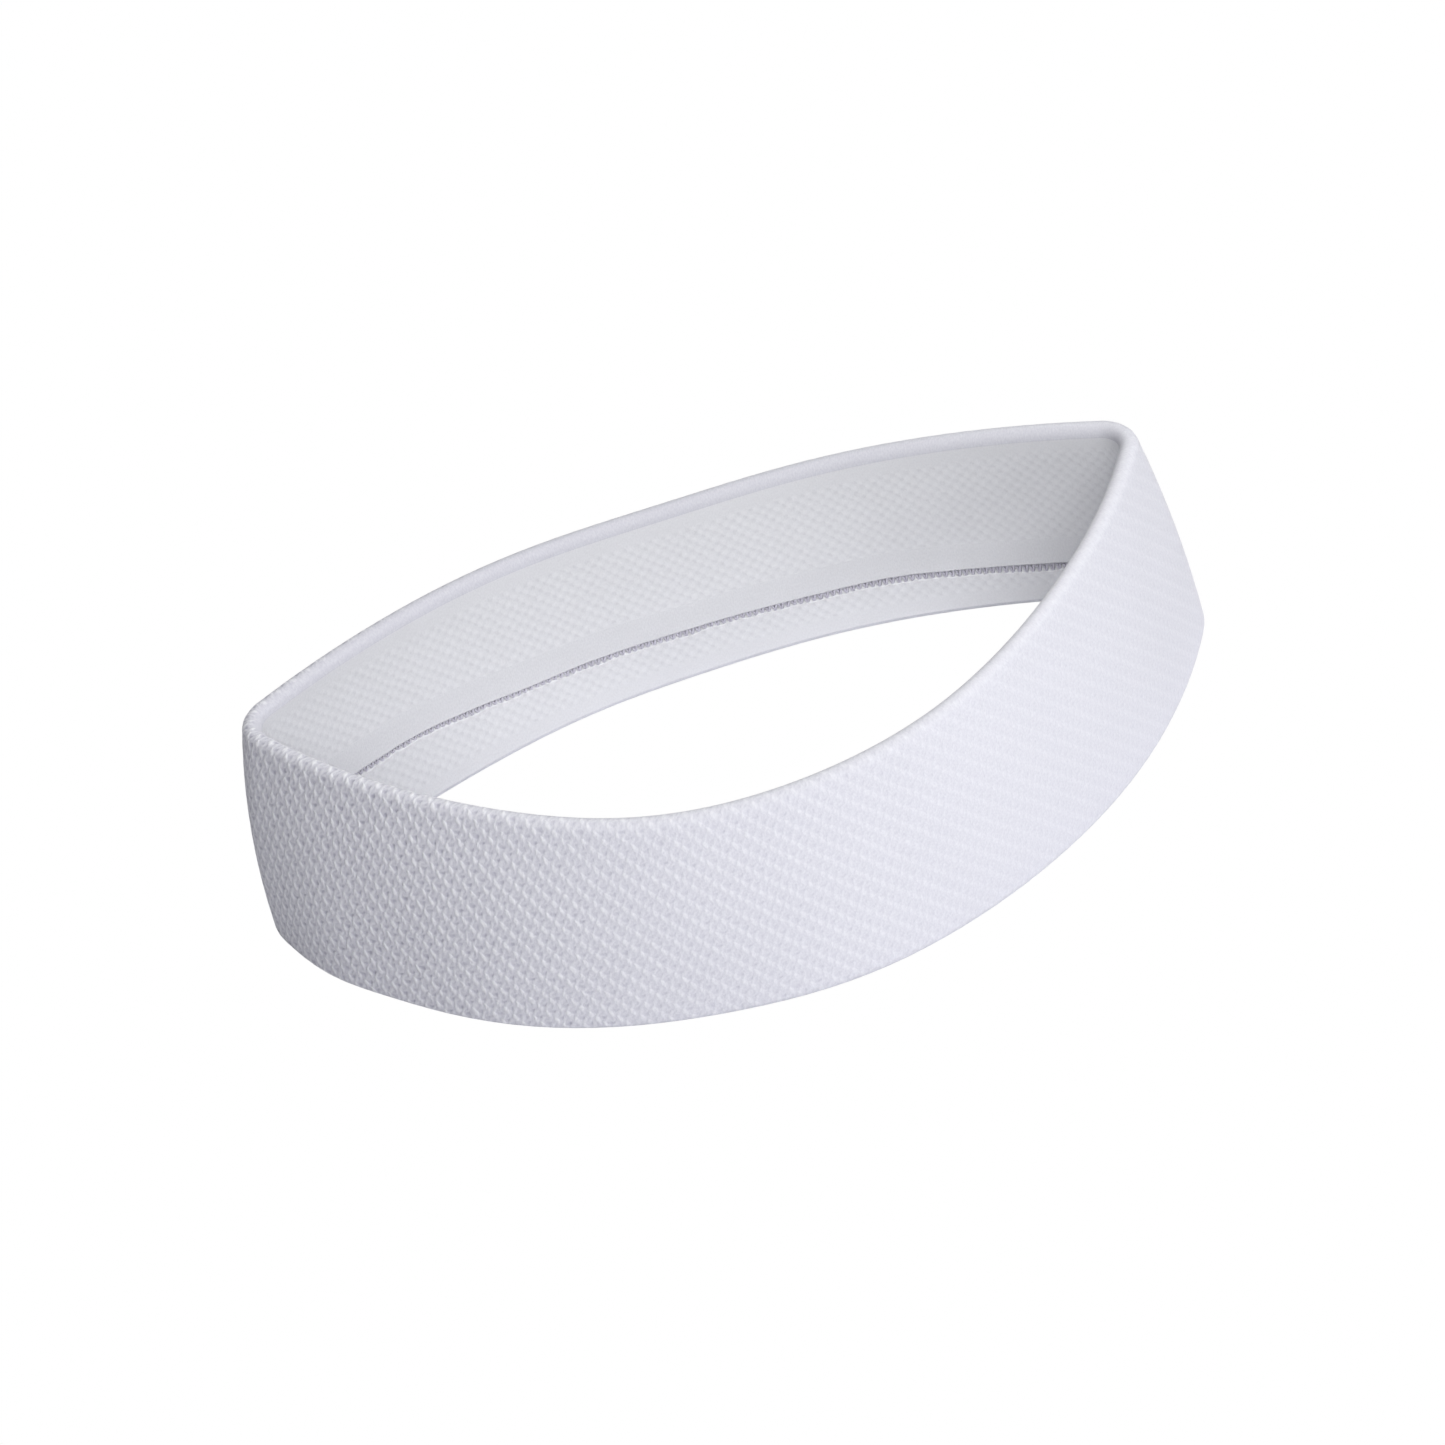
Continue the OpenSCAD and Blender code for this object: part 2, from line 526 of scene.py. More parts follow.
class Graph:
    """Adds nodes to one material's or world's tree."""

    def __init__(self, tree: NodeTree) -> None:
        """Starts from an empty tree."""
        self.tree = tree
        tree.nodes.clear()

    def node(self, kind: str, inputs: dict | None = None, **settings: Any) -> bpy.types.Node:
        """Adds a node.

        Args:
            kind: The node's type.
            inputs: Values, sockets or Values for its sockets, by name or number.
            settings: Its own properties, set first.

        Returns:
            The node.
        """
        node = self.tree.nodes.new(kind)
        for key, value in settings.items():
            setattr(node, key, value)
        for key, value in (inputs or {}).items():
            source = value.socket if isinstance(value, Value) else value
            if isinstance(source, NodeSocket):
                self.tree.links.new(source, node.inputs[key])
            else:
                node.inputs[key].default_value = source
        return node

    def math(self, operation: str, *values: Any) -> Value:
        """A Math node on up to three values."""
        node = self.node("ShaderNodeMath", dict(enumerate(values)), operation=operation)
        return Value(self, node.outputs[0])

    def mix(self, share: Any, low: Any, high: Any) -> NodeSocket:
        """A colour that goes from low to high as share goes from 0 to 1."""
        node = self.node("ShaderNodeMix", {0: share, 6: low, 7: high}, data_type="RGBA")
        return node.outputs[2]

    def noise(self, vector: Any, scale: float, detail: float = 2.0) -> Value:
        """Smooth noise from 0 to 1."""
        inputs = {"Vector": vector, "Scale": scale, "Detail": detail}
        node = self.node("ShaderNodeTexNoise", inputs)
        return Value(self, node.outputs["Fac"])

    def split(self, vector: NodeSocket) -> tuple[Value, Value]:
        """The X and Y of a vector."""
        axes = self.node("ShaderNodeSeparateXYZ", {0: vector})
        return Value(self, axes.outputs[0]), Value(self, axes.outputs[1])

    def knit_map(self) -> NodeSocket:
        """The place on the knit map."""
        return self.node("ShaderNodeUVMap", uv_map=KNIT_MAP).outputs[0]

    def surface(self, relief: Value, depth: float, inputs: dict[str, Any]) -> None:
        """Ends the tree in one surface, with a bump.

        Args:
            relief, depth: The bump's height, in shares of its depth, and that depth.
            inputs: Values for the surface's other sockets.
        """
        heights = {"Strength": 1.0, "Distance": depth, "Height": relief}
        bump = self.node("ShaderNodeBump", heights)
        inputs = inputs | {"Normal": bump.outputs[0]}
        surface = self.node("ShaderNodeBsdfPrincipled", inputs)
        self.node("ShaderNodeOutputMaterial", {0: surface.outputs[0]})


def new_material(name: str) -> tuple[Material, Graph]:
    """A material with an empty tree, and its graph."""
    material = bpy.data.materials.new(name)
    material.use_nodes = True
    return material, Graph(material.node_tree)


Colour = tuple[float, float, float, float]
INSIDE_WHITE: Colour = (0.935, 0.94, 0.96, 1.0)
# the facings' hollows darken towards this violet grey: painted shade
INSIDE_SHADE: Colour = (0.44, 0.44, 0.48, 1.0)


@dataclass(frozen=True)
class Spot:
    """A soft round place that each row repeats, one wale past the row above.

    Its height is 1 - (x / wide)^2 - (y / tall)^2, held over 0. x and y are how far a point is
    from the spot's middle, in wales and rows, and x also gets slant y and bend t^2, with t
    how far the point is more than a tenth of a row above the middle.
    """

    every: int
    wale: float
    row: float
    wide: float
    tall: float
    slant: float = 0.0
    bend: float = 0.0

    def build(self, wale: Value, row: Value) -> Value:
        """The highest of the spots in the row above and in the row below.

        Args:
            wale, row: The point's place on the knit map.

        Returns:
            The spots' height, from 0 to 1.
        """
        down = row - self.row
        line = down.math("FLOOR")
        y = down - line
        x = wale - self.wale - line
        return self.one(x, y).math("MAXIMUM", self.one(x - 1.0, y - 1.0))

    def one(self, x: Value, y: Value) -> Value:
        """One row's spots, at x wales and y rows from their middles."""
        x = x.near(self.every) + y * self.slant
        if self.bend:
            t = (y * -1.0).over(0.1)
            x = x + t * t * self.bend
        return (1.0 - x * x / self.wide**2 - y * y / self.tall**2).math("MAXIMUM", 0.0)


SLANTED_RAISED = Spot(3, wale=0.06, row=0.02, wide=0.36, tall=0.66, bend=1.3)
SLANTED_DEEP = Spot(3, wale=0.80, row=-0.36, wide=0.42, tall=0.44, slant=0.5)
SLANTED_SLOTS = (
    Spot(3, wale=-0.46, row=0.36, wide=0.24, tall=0.44, slant=0.3),
    Spot(3, wale=-1.06, row=-0.06, wide=0.28, tall=0.44, slant=0.3),
)
SLOT_SHARE, STRAND_SHARE = 0.5, 0.3  # of the slots and the strands in a hole
STRAND_START = 1.9  # the strands' angle at wale 0 and row 0
CHECKER_RAISED = Spot(2, wale=0.05, row=0.05, wide=0.55, tall=0.66, slant=0.25)
CHECKER_HOLE = Spot(2, wale=0.88, row=-0.02, wide=0.44, tall=0.48, slant=0.35)


@dataclass(frozen=True)
class Knit:
    """A finish of white knitted fabric.

    Height is made of stitches laid out by the pattern, and of fibres too fine to count.
    The hollows between stitches are darker, and a little violet: painted shade. Raised stitches
    are lighter: painted light.
    """

    name: str
    pattern: Pattern
    high: Colour = (0.882, 0.887, 0.926, 1.0)
    # the tone runs from low to high; the darker, more violet tone of the hollows is painted
    # shade
    low: Colour = (0.44, 0.435, 0.52, 1.0)
    depth: float = 0.13 * MM
    level: float = 0.58
    # raised: how much lighter raised stitches are, as painted light; holes: how much darker the
    # holes are, as painted shade
    raised: float = 0.40
    holes: float = 0.45
    fibre: float = 0.2
    hairs: float = 0.4
    rows: float = 0.0  # rows from end to end, where both ends lie in the folds
    fold_painted_light: float = 0.0  # how much lighter the folds' crests are, as a painted highlight, and darker their backs, as painted shade
    stitch_strength: float = 1.0  # how strong the stitches' relief and painted light and shade are at X = 0
    minus_x_painted_shade: float = 0.0  # how much stronger they grow, a metre, towards -X: painted shade on the dim side
    plus_x_painted_light: float = 0.0  # how much lighter the cloth is, a metre, towards +X: painted light from the lit side
    fade: float = 40.0  # how fast the relief fades in the folds, a metre, towards +Y
    hair_scale: tuple[float, float, float] = (4.2, 2.6, 1.0)  # fibres to a wale and a row
    wander: tuple[float, float] = (0.9, 0.7)  # of the stitches, in wales and in rows
    wander_scale: float = 0.7
    uneven_scale: float = 1.3
    shade: float = 0.06  # of slow stains, from darkest to palest
    shade_scale: float = 60.0
    roughness: float = 0.9
    sheen: float = 0.25

    def stitches(self, wale: Value, row: Value) -> tuple[Value, Value]:
        """Raised stitches and the holes beside them, both from 0 to 1.

        Rows are counted downwards, and each row's stitches lie one wale past the last row's.
        A raised stitch is tall, and its upper end bends to the left. In the slanted pattern
        a deep hole lies at its upper right, two slots lie between its neighbours, and
        strands cross between them: waves cos (2 pi (4 wale + 2 row) / 3 + start).

        Args:
            wale, row: The point's place on the knit map.

        Returns:
            The raised stitches' height and the holes' depth.
        """
        if self.pattern is Pattern.CHECKER:
            return CHECKER_RAISED.build(wale, row), CHECKER_HOLE.build(wale, row)
        first, second = (slot.build(wale, row) for slot in SLANTED_SLOTS)
        angle = (wale * 4.0 + row * 2.0) * (2 * math.pi / 3) + STRAND_START
        hole = SLANTED_DEEP.build(wale, row) + (first + second) * SLOT_SHARE
        hole = hole - angle.math("COSINE") * STRAND_SHARE
        return SLANTED_RAISED.build(wale, row), hole

    def relief_and_painted_shade(self, x: Value) -> Value:
        """How strong the stitches are at x, relief and painted light and shade together:
        stronger towards -X, as painted shade on the dim side, and faster over a share of 0.7.
        """
        share = self.stitch_strength - x * self.minus_x_painted_shade
        return (share + share.over(0.7) * 2.0).held(0.2, 1.5)

    def flatness(self, row: Value, y: Value) -> tuple[Value, Value]:
        """How the folds change the relief.

        Args:
            row, y: The point's row number and its Y.

        Returns:
            The share of the relief that is left, and how near a fold's crest is, from 0 to 1.
        """
        near_end = row.math("MINIMUM", self.rows - row)
        flat = (near_end * 1.2 - 0.7 - y * self.fade).held(0.1, 1.0)
        return flat, (1.0 - near_end * 0.35).held()

    def build(self) -> Material:
        """Makes the material.

        The tone is how far the colour is from low to high. Raised stitches add to it as painted
        light and holes take from it as painted shade; fibres and stains add the cloth's own
        tone, and the place along X adds painted light towards +X.

        Returns:
            The material.
        """
        material, graph = new_material(self.name)
        place = graph.knit_map()
        wale, row = graph.split(place)
        hairs = graph.node("ShaderNodeMapping", {"Vector": place, "Scale": self.hair_scale})
        fibre = graph.noise(hairs.outputs[0], 1.0, 4.0)
        body = graph.node("ShaderNodeTexCoord").outputs["Object"]
        x, y = graph.split(body)
        stain = graph.noise(body, self.shade_scale) - 0.5
        high = self.high
        if self.pattern is Pattern.PLAIN:
            rib = (wale * 3.0).near(1.0)
            height = 0.6 - rib * rib
            # rib tops lighter and grooves darker: painted shade
            tone = height * 0.1 + self.level
        else:
            drift = graph.noise(place, self.wander_scale) - 0.5
            wales, rows = self.wander
            raised, hole = self.stitches(wale + drift * wales, row + drift * rows)
            # the stitches' relief and their painted shade grow towards -X
            if self.minus_x_painted_shade:
                share = self.relief_and_painted_shade(x)
                raised, hole = raised * share, hole * share
            flat, crest = self.flatness(row, y)
            uneven = graph.noise(place, self.uneven_scale, 1.0) * 2.2 - 0.1
            raised = raised * flat * uneven
            hole = hole * flat * (1.0 - crest * 0.6) * (2.0 - uneven)
            height = raised * 0.6 + 0.4 - hole * 0.4
            # raised stitches lighter: painted light; holes darker: painted shade
            tone = raised * self.raised + self.level - hole * self.holes
            # painted highlight on the folds' crests, painted shade on the upper fold where the
            # relief fades; the colour there turns to the inside's white
            if self.fold_painted_light:
                top = row.math("LESS_THAN", self.rows / 2)
                tone = tone + (crest * flat * 0.8 - (1.0 - flat) * top) * self.fold_painted_light
                high = graph.mix(flat, INSIDE_WHITE, self.high)
        relief = height * (1 - self.fibre) + fibre * self.fibre
        # fibres and stains are the cloth's own tone; the slope along X is painted light,
        # lighter towards +X
        tone = tone + (fibre - 0.5) * self.hairs + stain * self.shade + x * self.plus_x_painted_light
        looks = {
            "Base Color": graph.mix(tone.held(), self.low, high),
            "Roughness": self.roughness,
            "Specular IOR Level": 0.2,
            "Sheen Weight": self.sheen,
            "Sheen Roughness": 0.5,
        }
        graph.surface(relief, self.depth, looks)
        return material


@dataclass(frozen=True)
class Thread:
    """A finish of wound thread: slanting plies, with painted shade where they meet. On the seam
    thread the violet grey is partly the thread's own colour and partly painted shade of the gap
    under the welt.
    """

    name: str
    # violet grey: the thread's own colour darkened by painted shade of the gap under the welt
    high: Colour = (0.83, 0.81, 0.90, 1.0)
    low: Colour = (0.75, 0.73, 0.83, 1.0)
    plies: float = 3.0
    depth: float = 0.1 * MM
    roughness: float = 0.85
    sheen: float = 0.2

    def build(self) -> Material:
        """Makes the material, with a ridge cos 2 pi (plies U + V) that winds round it.

        Returns:
            The material.
        """
        material, graph = new_material(self.name)
        across, along = graph.split(graph.knit_map())
        turn = (across * self.plies + along) * (2 * math.pi)
        ridge = turn.math("COSINE") * 0.5 + 0.5
        looks = {
            # darker between the plies: painted shade
            "Base Color": graph.mix(ridge, self.low, self.high),
            "Roughness": self.roughness,
            "Sheen Weight": self.sheen,
        }
        graph.surface(ridge, self.depth, looks)
        return material


# ---- the pieces
@dataclass
class OuterPanel:
    """The outer ply, with both folds."""

    wall: Wall
    steps: int = 896
    rows: int = 96
    lining: int = 9
    relief: float = 0.02 * MM
    fade: float = 6 * MM  # from each end to the full relief
    # the outer cloth: painted light towards +X, painted shade growing towards -X, painted
    # highlight and shade on the folds
    finish: Knit = Knit(
        "outer_knit", Pattern.SLANTED, level=0.61, raised=0.30, holes=0.33, hairs=0.5,
        stitch_strength=0.46, minus_x_painted_shade=7.0, plus_x_painted_light=0.5, rows=36.6, fold_painted_light=0.2
    )

    def path(self, s: Array, radius: float) -> tuple[Array, ...]:
        """The ply's line from the inner end of the lower fold to that of the upper fold.

        The line turns half round the lower fold, runs up the wall and turns half round the
        upper one: the angle grows over the two turns, and up grows between them.

        Args:
            s: Places along the line, from 0 to 1.
            radius: The line's radius in the folds.

        Returns:
            out, up, and the normal's parts along out and up.
        """
        turn = math.pi * radius
        length = s * (2 * turn + self.wall.span)
        angle = math.pi + np.clip(length, 0, turn) / radius
        angle = angle + np.clip(length - turn - self.wall.span, 0, turn) / radius
        up = np.clip(length - turn, 0, self.wall.span) + radius * np.sin(angle)
        return radius * np.cos(angle), up, np.cos(angle), np.sin(angle)

    def section(self, ring: RingMesh) -> Section:
        """The outside with its relief, then the lining back down inside the folds.

        Args:
            ring: The mesh that the section is for.

        Returns:
            The section.
        """
        wall = self.wall
        s = np.linspace(0, 1, self.rows + 1)
        out, up, out_n, up_n = self.path(s, wall.fold_r)
        total = 2 * math.pi * wall.fold_r + wall.span
        row = (1 - s) * total / wall.row
        ends = smooth(s * total / self.fade) * smooth((1 - s) * total / self.fade)
        height = self.relief * ends * (1 + Pattern.SLANTED.relief(ring.wale, row))
        lined = np.linspace(1, 0, self.lining + 1)
        out_l, up_l, _, _ = self.path(lined, wall.inner_r)
        fill = np.ones((self.steps, 1))
        return Section(
            join(out + height * out_n, fill * out_l),
            join(up + height * up_n, fill * up_l),
            join(fill * row, fill * (1 - lined) * total / wall.row),
            np.concatenate([np.ones(len(s), bool), np.zeros(len(lined), bool)]),
        )

    def build(self) -> Object:
        """Makes and dresses the piece.

        Returns:
            The new object.
        """
        ring = RingMesh(self.wall, "outer_fabric", self.steps)
        piece = ring.build(self.section(ring))
        piece.data.materials.append(self.finish.build())
        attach(piece, "root")
        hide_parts("outer_panel")
        middle = math.pi * (self.wall.inner_r + self.wall.ply_t / 2) * 2 + self.wall.span
        self.wall.outline.around()
        return piece


@dataclass
class Facing:
    """The inner ply on one side of the seam."""

    wall: Wall
    name: str
    node: str
    steps: int = 672
    back_points: int = 5
    relief: float = 0.015 * MM
    fade: float = 2.5 * MM  # from the upper fold to the full relief
    # the facings: painted light towards +X, and lighter stitches and darker holes as painted
    # light and shade
    finish: Knit = Knit(
        "facing_knit", Pattern.CHECKER, depth=0.05 * MM, level=0.77, plus_x_painted_light=1.8, raised=0.09,
        holes=0.10, hairs=0.36, rows=28.75, high=INSIDE_WHITE, low=INSIDE_SHADE
    )

    def front(self, ring: RingMesh) -> tuple[Array, Array]:
        """The line that shows, as depths from the middle of the wall and places up it."""
        raise NotImplementedError

    def section(self, ring: RingMesh) -> Section:
        """The level back, upwards, and then the front, downwards, with its relief.

        Args:
            ring: The mesh that the section is for.

        Returns:
            The section.
        """
        wall = self.wall
        out, up = self.front(ring)
        row = (wall.span - up) / wall.row
        low, high = up[:, :1], up[:, -1:]
        ends = smooth((wall.span - up) / self.fade)
        height = self.relief * ends * (1 + Pattern.CHECKER.relief(ring.wale, row))
        front = out - wall.swell(up) - height
        back = low + (high - low) * np.linspace(0, 1, self.back_points)
        return Section(
            join(np.full(back.shape, -wall.inner_r), front[:, ::-1]),
            join(back, up[:, ::-1]),
            join((wall.span - back) / wall.row, row[:, ::-1]),
            np.concatenate([np.zeros(self.back_points, bool), np.ones(up.shape[1], bool)]),
        )

    def build(
        self, material: Material, trims: tuple[Object, ...] = ()
    ) -> Object:
        """Makes and dresses the piece.

        Args:
            material: The facings' shared knit.
            trims: Pieces that are sewn to this one; not used.

        Returns:
            The new object.
        """
        ring = RingMesh(self.wall, self.name, self.steps)
        section = self.section(ring)
        piece = ring.build(section)
        piece.data.materials.append(material)
        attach(piece, "root")
        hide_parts(self.node)
        width = float((section.up.max(axis=1) - section.up.min(axis=1)).mean())
        self.wall.outline.around()
        return piece


@dataclass
class UpperFacing(Facing):
    """The inner ply from behind the welt up to the upper fold."""

    name: str = "upper_facing_fabric"
    node: str = "upper_facing"
    rows: int = 60

    def front(self, ring: RingMesh) -> tuple[Array, Array]:
        """Even rows from the lapped lower end to the upper fold's centre."""
        wall = self.wall
        low = (wall.seam_up(ring.u) + wall.welt_w - wall.facing_lap)[:, None]
        up = low + (wall.span - low) * np.linspace(0, 1, self.rows + 1)
        return np.full(up.shape, -wall.fold_r), up


@dataclass
class LowerFacing(Facing):
    """The inner ply from the lower fold up to its raw edge behind the welt.

    It rolls up towards the seam, ends in a ragged rim and dives under the welt.
    """

    name: str = "lower_facing_fabric"
    node: str = "lower_facing"
    roll: float = 0.08 * MM
    roll_span: tuple[float, float] = (-4.0 * MM, 3.4 * MM)  # start from the rim, and length
    dive: float = 0.6 * MM
    dive_span: tuple[float, float] = (-0.35 * MM, 0.5 * MM)
    gap: float = 1.8 * MM
    gap_change: float = 0.35 * MM
    gap_reach: float = 75 * MM  # the X at which the whole change is reached
    fine_rag: float = 0.24 * MM
    slow_rag: float = 0.26 * MM
    under_rim: float = 0.9 * MM  # where the close rows start under the rim
    over_rim: float = 0.4 * MM  # where they end over it
    rows: tuple[int, int, int] = (26, 12, 4)  # up to the close rows, through them, and on

    def rim(self, u: Array) -> Array:
        """Where the rim is, up the slope: a gap under the lip, wider towards +X, and ragged.

        Args:
            u: How far round.

        Returns:
            Places up the slope, (steps).
        """
        place, _ = self.wall.outline.at(u)
        gap = self.gap + self.gap_change * place[:, 0] / self.gap_reach
        rag = self.fine_rag * rough(u, WALES, RIM_FINE)
        rag = rag + self.slow_rag * rough(u, WALES // 4, RIM_SLOW)
        return self.wall.seam_up(u) - gap + rag

    def front(self, ring: RingMesh) -> tuple[Array, Array]:
        """Even rows to the rim, close ones over it, and a few behind the welt.

        Args:
            ring: The mesh that the line is for.

        Returns:
            Depths and places up the slope, each (steps, points).
        """
        wall = self.wall
        rim = self.rim(ring.u)[:, None]
        end = (wall.seam_up(ring.u) + wall.welt_w - wall.facing_lap - wall.overlock_w)[:, None]
        body, close, tail = self.rows
        first, last = rim - self.under_rim, rim + self.over_rim
        up = join(
            first * np.linspace(0, 1, body, endpoint=False),
            first + (last - first) * np.linspace(0, 1, close, endpoint=False),
            last + (end - last) * np.linspace(0, 1, tail),
        )
        (roll_start, roll_length), (dive_start, dive_length) = self.roll_span, self.dive_span
        roll = self.roll * smooth((up - rim - roll_start) / roll_length)
        dive = (self.dive + self.roll) * smooth((up - rim - dive_start) / dive_length)
        return -wall.fold_r - roll + dive, up


@dataclass
class Welt:
    """The smooth strip over the seam, thin at its top and with a rolled lower lip.

    Its profile runs up the back, over the thin top edge and down the front, with two fine
    ridges above the lip. Each point has a height over the lip, in mm on a welt of the
    profile's width, and a share of the thickness by which it stands from the facing.
    """

    BACK = ((0.35, 0.0), (2.0, 0.0), (4.2, 0.0), (6.6, 0.0))
    FRONT = (
        (6.9, 0.04), (6.6, 0.10), (6.2, 0.18), (5.8, 0.26), (5.2, 0.34), (4.6, 0.41),
        (4.0, 0.48), (3.4, 0.55), (2.8, 0.61), (2.3, 0.67), (1.95, 0.72), (1.65, 0.86),
        (1.35, 0.80), (1.1, 0.93), (0.8, 0.87), (0.55, 1.0), (0.3, 0.99), (0.12, 0.9),
        (0.02, 0.76), (0.0, 0.6), (0.03, 0.42), (0.12, 0.2),
    )
    PROFILE_W = 6.2
    ROW_H = 1.68  # in the profile's mm

    wall: Wall
    steps: int = 672
    thick: float = 0.65 * MM
    slow_rag: float = 0.12 * MM
    fine_rag: float = 0.05 * MM
    rag_reach: float = 2.0  # the profile's height up to which the lip is ragged
    thick_change: float = 0.06
    # its level lies below the facing's: painted shade that offsets the light its upward tilt
    # catches; painted light towards +X
    finish: Knit = Knit(
        "welt_jersey", Pattern.PLAIN, depth=0.06 * MM, level=0.62, plus_x_painted_light=1.8, fibre=0.6,
        hairs=0.4, high=INSIDE_WHITE, low=INSIDE_SHADE
    )

    def section(self, ring: RingMesh) -> Section:
        """The profile on the facing, with a ragged lip and a thickness that varies.

        Args:
            ring: The mesh that the section is for.

        Returns:
            The section.
        """
        wall = self.wall
        height, stand = np.array(self.BACK + self.FRONT).T
        lip = self.slow_rag * rough(ring.u, 40, LIP_SLOW)
        lip = (lip + self.fine_rag * rough(ring.u, WALES, LIP_FINE))[:, None]
        near_lip = smooth((self.rag_reach - height) / self.rag_reach)
        over = height * (wall.welt_w / self.PROFILE_W)
        up = wall.seam_up(ring.u)[:, None] + over + lip * near_lip
        change = 1 + self.thick_change * rough(ring.u, 60, THICKNESS)
        out = -wall.fold_r - wall.swell(up) - self.thick * stand * change[:, None]
        seen = np.arange(len(height)) >= len(self.BACK)
        return Section(out, up, np.broadcast_to(height / self.ROW_H, out.shape), seen)

    def build(self) -> Object:
        """Makes and dresses the piece.

        Returns:
            The new object.
        """
        ring = RingMesh(self.wall, "seam_welt_fabric", self.steps)
        piece = ring.build(self.section(ring))
        piece.data.materials.append(self.finish.build())
        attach(piece, "root")
        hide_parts("seam_welt")
        return piece


@dataclass
class SeamThreads:
    """The linking thread in the gap under the welt, and the overlocking behind the welt."""

    wall: Wall
    finish: Thread = Thread("seam_thread_gap_shade")
    rings_at: float = 3.0  # rings to each twist of the thread
    link_r: float = 0.26 * MM
    link_in: float = 0.05 * MM  # how far the chain's middle lies in the gap
    link_depth: float = 0.15 * MM  # how far the chain goes in and out of it
    link_lap: tuple[float, float] = (0.1 * MM, 0.2 * MM)  # past the rim and past the lip
    coil_r: float = 0.12 * MM
    coil_out: float = 0.5 * MM  # half of the coil's size through the ply
    coil_up: float = 0.26 * MM  # half of its size up the slope

    @staticmethod
    def turns(each: int) -> tuple[Array, Array]:
        """Places round the band, so many to a wale, and the angle that turns once a wale."""
        u = np.arange(WALES * each) / (WALES * each)
        return u, 2 * math.pi * WALES * u

    def linking(self, lower: LowerFacing) -> Object:
        """A chain that goes over and under between the lip and the rim, once each wale.

        Args:
            lower: The facing that it holds.

        Returns:
            The new object.
        """
        u, phase = self.turns(6)
        lip, rim = self.wall.seam_up(u), lower.rim(u)
        share = 0.5 + 0.5 * np.cos(phase) + 0.15 * np.sin(2 * phase)
        under, over = self.link_lap
        up = rim - under + (lip + over - rim + under) * share
        out = -self.wall.fold_r + self.link_in - self.link_depth * np.sin(phase)
        path = self.wall.place(u, out[:, None], up[:, None])[:, 0]
        piece = tube_mesh("linking_stitches", path, self.link_r, 6, self.rings_at)
        return self._dress(piece, "linking_thread")

    def overlock(self) -> Object:
        """A coil wound over the raw edge, once each wale: an ellipse carried along the edge.

        Returns:
            The new object.
        """
        u, phase = self.turns(8)
        wall = self.wall
        edge = wall.seam_up(u) + wall.welt_w - wall.facing_lap - wall.overlock_w / 2
        out = -wall.fold_r + wall.ply_t / 2 + self.coil_out * np.cos(phase)
        up = edge + self.coil_up * np.sin(phase)
        path = wall.place(u, out[:, None], up[:, None])[:, 0]
        piece = tube_mesh("overlock_coil", path, self.coil_r, 5, self.rings_at)
        return self._dress(piece, "overlock_edge")

    def _dress(self, piece: Object, node: str) -> Object:
        """Gives a thread its finish, body and node.

        Args:
            piece, node: The thread and the CAD node that it stands for.

        Returns:
            The same piece.
        """
        material = bpy.data.materials.get(self.finish.name) or self.finish.build()
        piece.data.materials.append(material)
        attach(piece, "root")
        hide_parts(node)
        return piece


@dataclass
class ElasticYarns:
    """The covered yarns that run round inside the double wall."""

    wall: Wall
    count: int = 11
    margin: float = 3 * MM
    steps: int = 448
    sides: int = 6
    rings_at: float = 0.5
    finish: Thread = Thread(
        "covered_elastic", high=(0.80, 0.80, 0.82, 1.0), low=(0.45, 0.45, 0.48, 1.0),
        plies=1.0, depth=0.06 * MM, roughness=0.6, sheen=0.0
    )

    def build(self) -> list[Object]:
        """One round yarn at each level, evenly spaced between the margins.

        Returns:
            The new objects, from the lowest up.
        """
        material = self.finish.build()
        levels = np.linspace(self.margin, self.wall.span - self.margin, self.count)
        u = np.arange(self.steps) / self.steps
        yarns = []
        for number, level in enumerate(levels, start=1):
            flat = np.zeros((self.steps, 1))
            path = self.wall.place(u, flat, flat + level)[:, 0]
            name = f"covered_yarn_{number:02d}"
            yarn = tube_mesh(name, path, self.wall.yarn_d / 2, self.sides, self.rings_at)
            yarn.data.materials.append(material)
            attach(yarn, "root")
            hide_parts(f"elastic_yarn_{number:02d}")
            yarns.append(yarn)
        return yarns


# ---- studio
def direction(azimuth: float, elevation: float) -> Vector:
    """The unit vector at an azimuth from -Y towards +X and an elevation, in degrees."""
    a, e = math.radians(azimuth), math.radians(elevation)
    return Vector((math.sin(a) * math.cos(e), -math.cos(a) * math.cos(e), math.sin(e)))


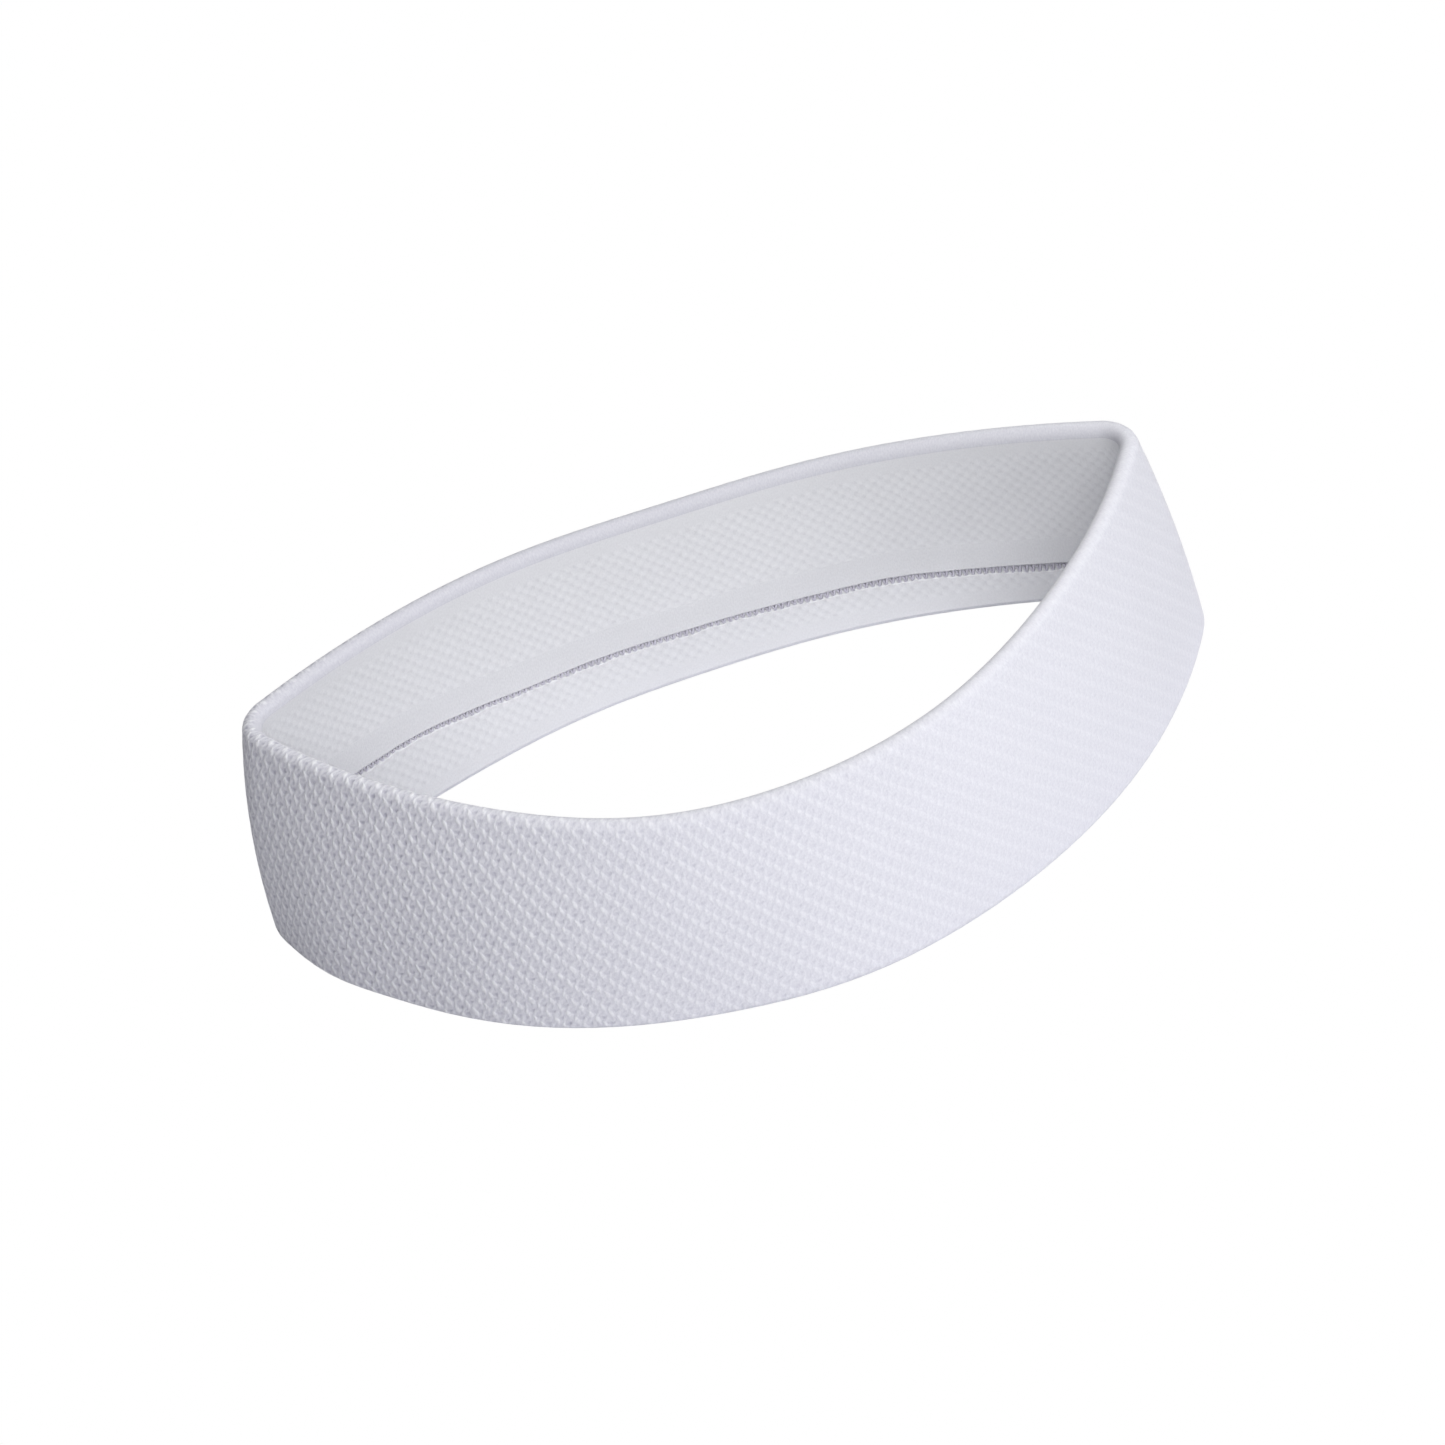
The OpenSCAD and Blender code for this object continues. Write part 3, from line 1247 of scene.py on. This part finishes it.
@dataclass(frozen=True)
class Studio:
    """Pale floor, soft light and camera. Angles are in degrees."""

    centre: Vector
    azimuth: float = -8.37
    elevation: float = 40.08
    roll: float = -13.39
    distance: float = 1.7434
    slide: tuple[float, float] = (3.83 * MM, -2.05 * MM)
    lens: float = 218.86
    sensor: float = 36.0
    clip: tuple[float, float] = (0.05, 50.0)
    paper: Colour = (0.80, 0.80, 0.84, 1.0)
    floor_half: float = 8.0
    surround: Colour = (0.87, 0.87, 1.0, 1.0)
    sky: float = 0.01
    lamp_size: float = 1.2
    lamp_distance: float = 2.0
    lamps: tuple[tuple[str, float, float, float], ...] = (  # azimuths, elevations, powers
        ("low", 30.0, 10.0, 9.0),
        ("key", 30.0, 34.0, 6.5),
        ("high", 38.0, 60.0, 15.0),
        ("left", -10.0, 46.0, 17.0),
        ("back", 150.0, 48.0, 15.0),
    )

    def camera(self) -> None:
        """Puts the camera on a line out from the centre, rolled and slid across its view."""
        a, r = math.radians(self.azimuth), math.radians(self.roll)
        back = direction(self.azimuth, self.elevation)
        level = Vector((math.cos(a), math.sin(a), 0))
        steep = back.cross(level)
        right = math.cos(r) * level + math.sin(r) * steep
        top = -math.sin(r) * level + math.cos(r) * steep
        place = self.centre + self.distance * back - self.slide[0] * right - self.slide[1] * top
        data = bpy.data.cameras.new("camera")
        data.lens, data.sensor_width = self.lens, self.sensor
        data.clip_start, data.clip_end = self.clip
        camera = put("camera", data)
        turn = Matrix((right, top, back)).transposed().to_4x4()
        camera.matrix_world = Matrix.Translation(place) @ turn
        bpy.context.scene.camera = camera

    def lamp(self, name: str, azimuth: float, elevation: float, power: float) -> None:
        """A square soft light that faces the centre from that direction."""
        way = direction(azimuth, elevation)
        data = bpy.data.lights.new(name, "AREA")
        data.size, data.energy = self.lamp_size, power
        turn = way.to_track_quat("Z", "Y").to_matrix().to_4x4()
        place = Matrix.Translation(self.centre + self.lamp_distance * way)
        put(name, data).matrix_world = place @ turn

    def floor(self) -> None:
        """A wide floor that lights the band as pale paper does, and looks clear white."""
        mesh = bpy.data.meshes.new("floor")
        half = self.floor_half
        corners = [(-half, -half, 0), (half, -half, 0), (half, half, 0), (-half, half, 0)]
        mesh.from_pydata(corners, [], [(0, 1, 2, 3)])
        floor = put("floor", mesh)
        material, graph = new_material("floor_paper")
        seen = graph.node("ShaderNodeLightPath").outputs["Is Camera Ray"]
        lit = graph.node("ShaderNodeBsdfDiffuse", {"Color": self.paper})
        clear = graph.node("ShaderNodeEmission", {"Color": (1, 1, 1, 1), "Strength": 1.0})
        both = {0: seen, 1: lit.outputs[0], 2: clear.outputs[0]}
        paper = graph.node("ShaderNodeMixShader", both)
        graph.node("ShaderNodeOutputMaterial", {0: paper.outputs[0]})
        mesh.materials.append(material)

    def world(self) -> None:
        """A surround that gives little light, and looks pale to the camera."""
        world = bpy.data.worlds.new("surround")
        world.use_nodes = True
        graph = Graph(world.node_tree)
        seen = graph.node("ShaderNodeLightPath").outputs["Is Camera Ray"]
        strength = Value(graph, seen) * (1.0 - self.sky) + self.sky
        looks = {"Color": self.surround, "Strength": strength}
        surround = graph.node("ShaderNodeBackground", looks)
        graph.node("ShaderNodeOutputWorld", {0: surround.outputs[0]})
        bpy.context.scene.world = world

    def build(self) -> None:
        """Makes the whole studio."""
        bpy.context.scene.view_settings.view_transform = "Standard"
        self.camera()
        self.floor()
        self.world()
        for name, azimuth, elevation, power in self.lamps:
            self.lamp(name, azimuth, elevation, power)


def main() -> None:
    """Builds the studio and every piece."""
    logging.basicConfig(level=logging.INFO, format="%(name)s: %(message)s")
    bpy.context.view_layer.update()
    wall = Wall()
    Studio(Vector((0, 0, wall.middle))).build()
    facing = Facing.finish.build()
    lower, threads = LowerFacing(wall), SeamThreads(wall)
    welt, linking, overlock = Welt(wall).build(), threads.linking(lower), threads.overlock()
    pieces = [OuterPanel(wall).build(), UpperFacing(wall).build(facing, (welt, linking))]
    pieces += [lower.build(facing, (overlock,)), welt, linking, overlock]
    pieces += ElasticYarns(wall).build()
    for piece in pieces:
        log.info("%s: %d faces", piece.name, len(piece.data.polygons))


if __name__ == "__main__":
    main()
